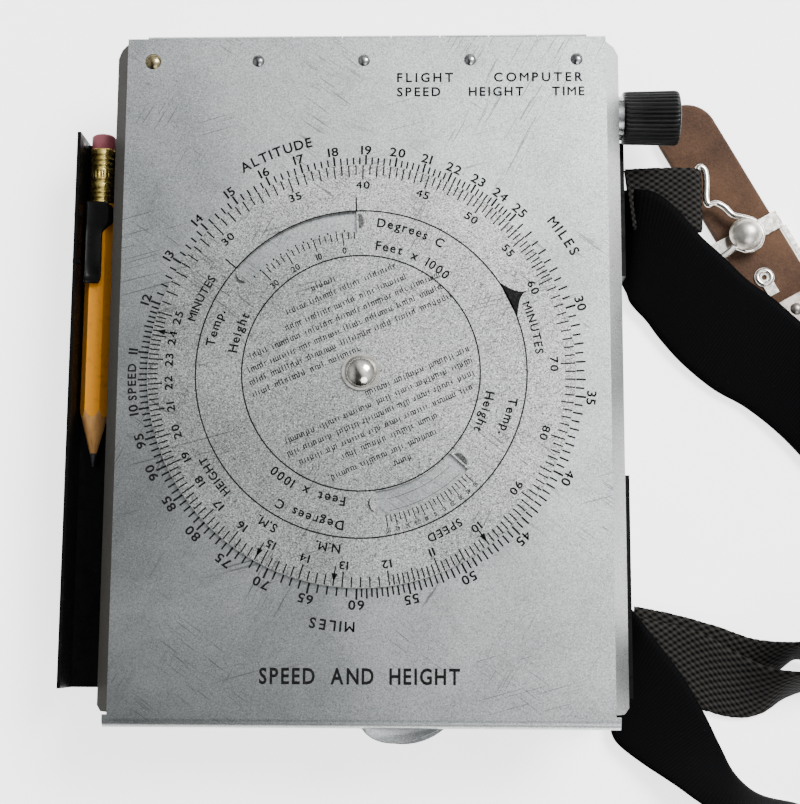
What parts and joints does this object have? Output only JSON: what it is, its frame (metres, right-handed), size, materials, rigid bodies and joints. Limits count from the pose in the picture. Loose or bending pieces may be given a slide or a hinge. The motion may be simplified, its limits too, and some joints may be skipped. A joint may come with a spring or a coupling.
{
  "type": "flight computer",
  "caption": "Knee-worn box-type flight computer: hinged lid with circular slide rule, roller chart and compass dial inside, pencil tray, drive knob and thigh straps.",
  "frame": {"origin": "centre of the case's flat underside", "axes": "+X to the knob and strap side, +Y to the hinge, +Z out of the lid's face"},
  "size_m": [0.2528, 0.2265, 0.0422],
  "materials": {
    "sheet_aluminium": "satin, finely scratched",
    "disc_aluminium": "fine stippled matt with black print",
    "rivet_aluminium": "bright domed heads",
    "nickel": "polished nickel plate",
    "steel": "bright drawn steel",
    "brass": "dull brass",
    "black_enamel": "gloss black enamel, worn at its edges",
    "black_moulding": "black phenolic moulding",
    "dial_plastic": "ivory plastic with black print",
    "clear_plastic": "clear acrylic with a ground surface",
    "chart_cloth": "printed chart cloth",
    "pencil_wood": "orange-yellow lacquer over cedar",
    "graphite": "graphite",
    "eraser_rubber": "worn pink eraser",
    "elastic": "black woven elastic",
    "webbing": "coarse black webbing",
    "brown_leather": "dark brown suede-backed leather"
  },
  "bodies": {
    "case": {"case_shell": "sheet_aluminium", "bottom_cover": "sheet_aluminium", "chart_frame_left": "sheet_aluminium", "chart_frame_right": "sheet_aluminium", "platen": "sheet_aluminium", "face_plate": "sheet_aluminium", "hinge_case_leaf": "sheet_aluminium", "hinge_rivets": "rivet_aluminium", "ball_stud": "nickel", "fastener_crossbar": "nickel", "wire_loop": "nickel", "leather_eyelet": "nickel", "hinge_pin": "steel", "chassis_screws": "steel", "cover_screws": "steel", "leather_end_plate": "steel", "end_plate_rivets": "steel", "dial_retainers": "steel", "frame_bushes": "brass", "wall_bush": "brass", "pencil_tray": "black_enamel", "tray_rivets": "black_enamel", "pencil_clip": "black_enamel", "strap_lug_rear": "black_enamel", "strap_lug_front": "black_enamel", "lug_rivets": "black_enamel", "webbing_buckle": "black_enamel", "chart_belt": "chart_cloth", "elastic_strap_rear": "elastic", "elastic_strap_loop": "elastic", "elastic_strap_front": "elastic", "webbing_strap_lower": "webbing", "webbing_strap_upper": "webbing", "webbing_tab": "webbing", "leather_strip": "brown_leather"},
    "lid": {"lid_shell": "sheet_aluminium", "hinge_lid_leaf": "sheet_aluminium", "lid_rivets": "rivet_aluminium", "lid_corner_rivet": "brass", "rule_stud": "nickel", "rule_washer": "nickel", "rule_backing_washer": "steel", "note_panel": "dial_plastic"},
    "rule": {"rule_disc": "disc_aluminium"},
    "dial": {"azimuth_ring": "dial_plastic", "plotting_disc": "clear_plastic"},
    "drive": {"drive_roller": "black_moulding", "drive_shaft": "steel", "drive_retaining_clip": "steel", "knob_collar": "steel", "spring_washer": "steel", "knob": "black_moulding", "knob_set_screw": "steel"},
    "idler": {"idler_roller": "black_moulding", "idler_shaft": "steel", "idler_retaining_clips": "steel"},
    "pencil": {"pencil_barrel": "pencil_wood", "pencil_lead": "graphite", "pencil_ferrule": "brass", "pencil_eraser": "eraser_rubber"}
  },
  "joints": [
    {"name": "lid_hinge", "type": "hinge", "parent": "case", "child": "lid", "pos_m": [0, 0.0956, 0.0334], "axis": [-1, 0, 0], "range_deg": [0, 170]},
    {"name": "rule_turn", "type": "hinge", "parent": "lid", "child": "rule", "pos_m": [-0.0006, -0.0015, 0.0387], "axis": [0, 0, 1], "continuous": true},
    {"name": "dial_turn", "type": "hinge", "parent": "case", "child": "dial", "pos_m": [0, -0.008, 0.0295], "axis": [0, 0, 1], "continuous": true},
    {"name": "knob_turn", "type": "hinge", "parent": "case", "child": "drive", "pos_m": [0, 0.0775, 0.019], "axis": [1, 0, 0], "continuous": true},
    {"name": "idler_turn", "type": "hinge", "parent": "case", "child": "idler", "pos_m": [0, -0.0775, 0.019], "axis": [1, 0, 0], "continuous": true},
    {"name": "pencil_slide", "type": "slide", "parent": "case", "child": "pencil", "axis": [0, 1, 0], "range_m": [0, 0.1]}
  ],
  "couplings": [
    {"joint": "idler_turn", "follows": "knob_turn", "ratio": 1}
  ]
}
